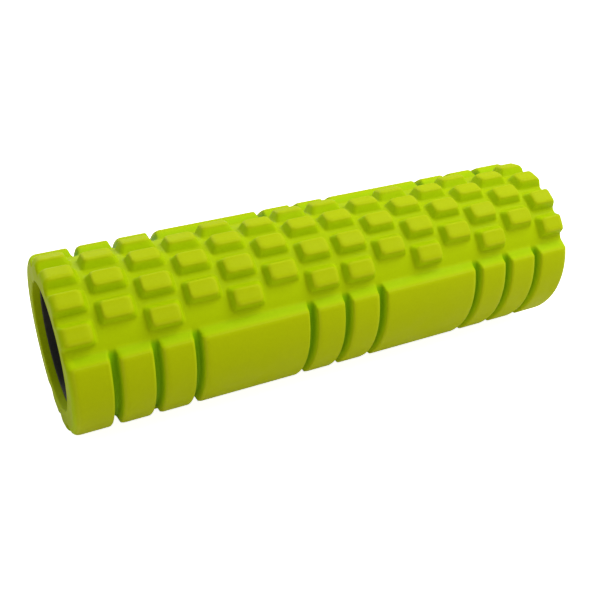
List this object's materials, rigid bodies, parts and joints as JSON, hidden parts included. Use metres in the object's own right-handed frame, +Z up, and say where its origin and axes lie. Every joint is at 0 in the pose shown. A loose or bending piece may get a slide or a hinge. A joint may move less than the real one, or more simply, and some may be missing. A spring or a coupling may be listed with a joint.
{
  "type": "foam massage roller",
  "caption": "Hollow foam massage roller: a stiff core tube in a thick foam sleeve moulded with fields of nubs and bands of ribs and slabs.",
  "frame": {"origin": "middle of the roller's axis, on the centre line of the core tube's bore", "axes": "+X along the roller's axis, +Z up with the roller lying on its side, -Y towards the side that carries the narrower band of ribs and slabs"},
  "size_m": [0.45, 0.1432, 0.1425],
  "materials": {
    "foam": "satin closed-cell foam, moulded, lime green",
    "core": "black extruded plastic, fine matte",
    "adhesive": "cured contact adhesive"
  },
  "bodies": {
    "root": {"foam_sleeve": "foam", "core_tube": "core", "bond_film": "adhesive"}
  },
  "joints": []
}
